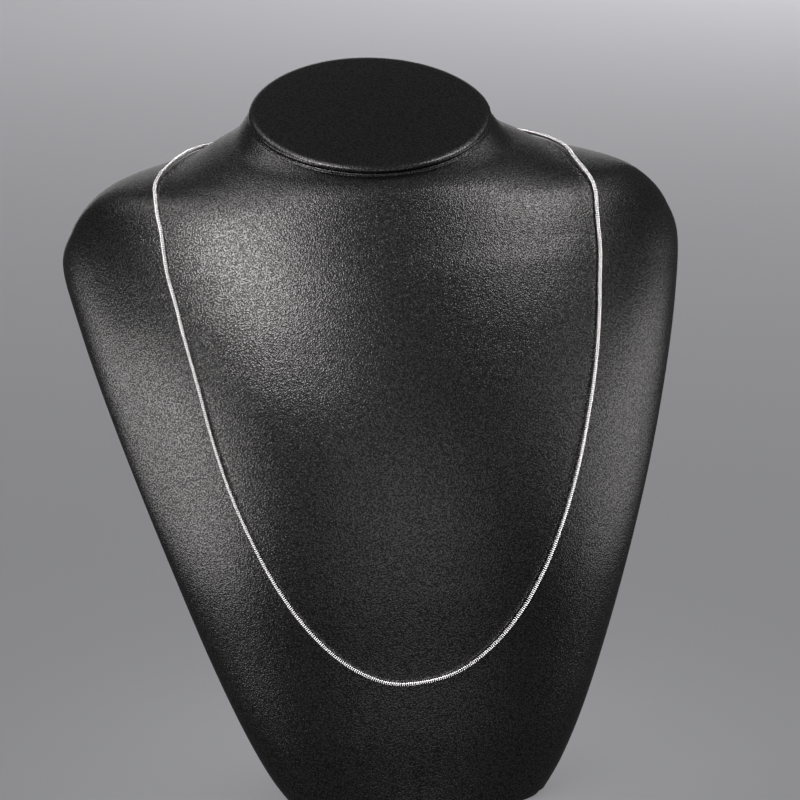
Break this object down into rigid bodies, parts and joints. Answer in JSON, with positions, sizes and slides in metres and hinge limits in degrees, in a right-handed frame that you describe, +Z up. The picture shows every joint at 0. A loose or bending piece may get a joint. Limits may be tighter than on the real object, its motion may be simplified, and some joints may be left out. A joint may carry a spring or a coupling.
{
  "type": "snake chain on a neck bust",
  "caption": "Slim round snake chain necklace with a barrel clasp, laid round a black leatherette neck bust that stands on its flat foot.",
  "frame": {"origin": "middle of the bust's flat foot, between its front, back and side edges", "axes": "+Z up along the height, the bust faces -Y, +X across the shoulders to the right of someone who looks at the front"},
  "size_m": [0.2118, 0.1319, 0.2355],
  "materials": {
    "leatherette": "black pebbled leatherette with a soft sheen",
    "silver": "polished silver"
  },
  "bodies": {
    "root": {"bust_form": "leatherette", "neck_cap": "leatherette", "snake_chain": "silver", "clasp": "silver"}
  },
  "joints": []
}
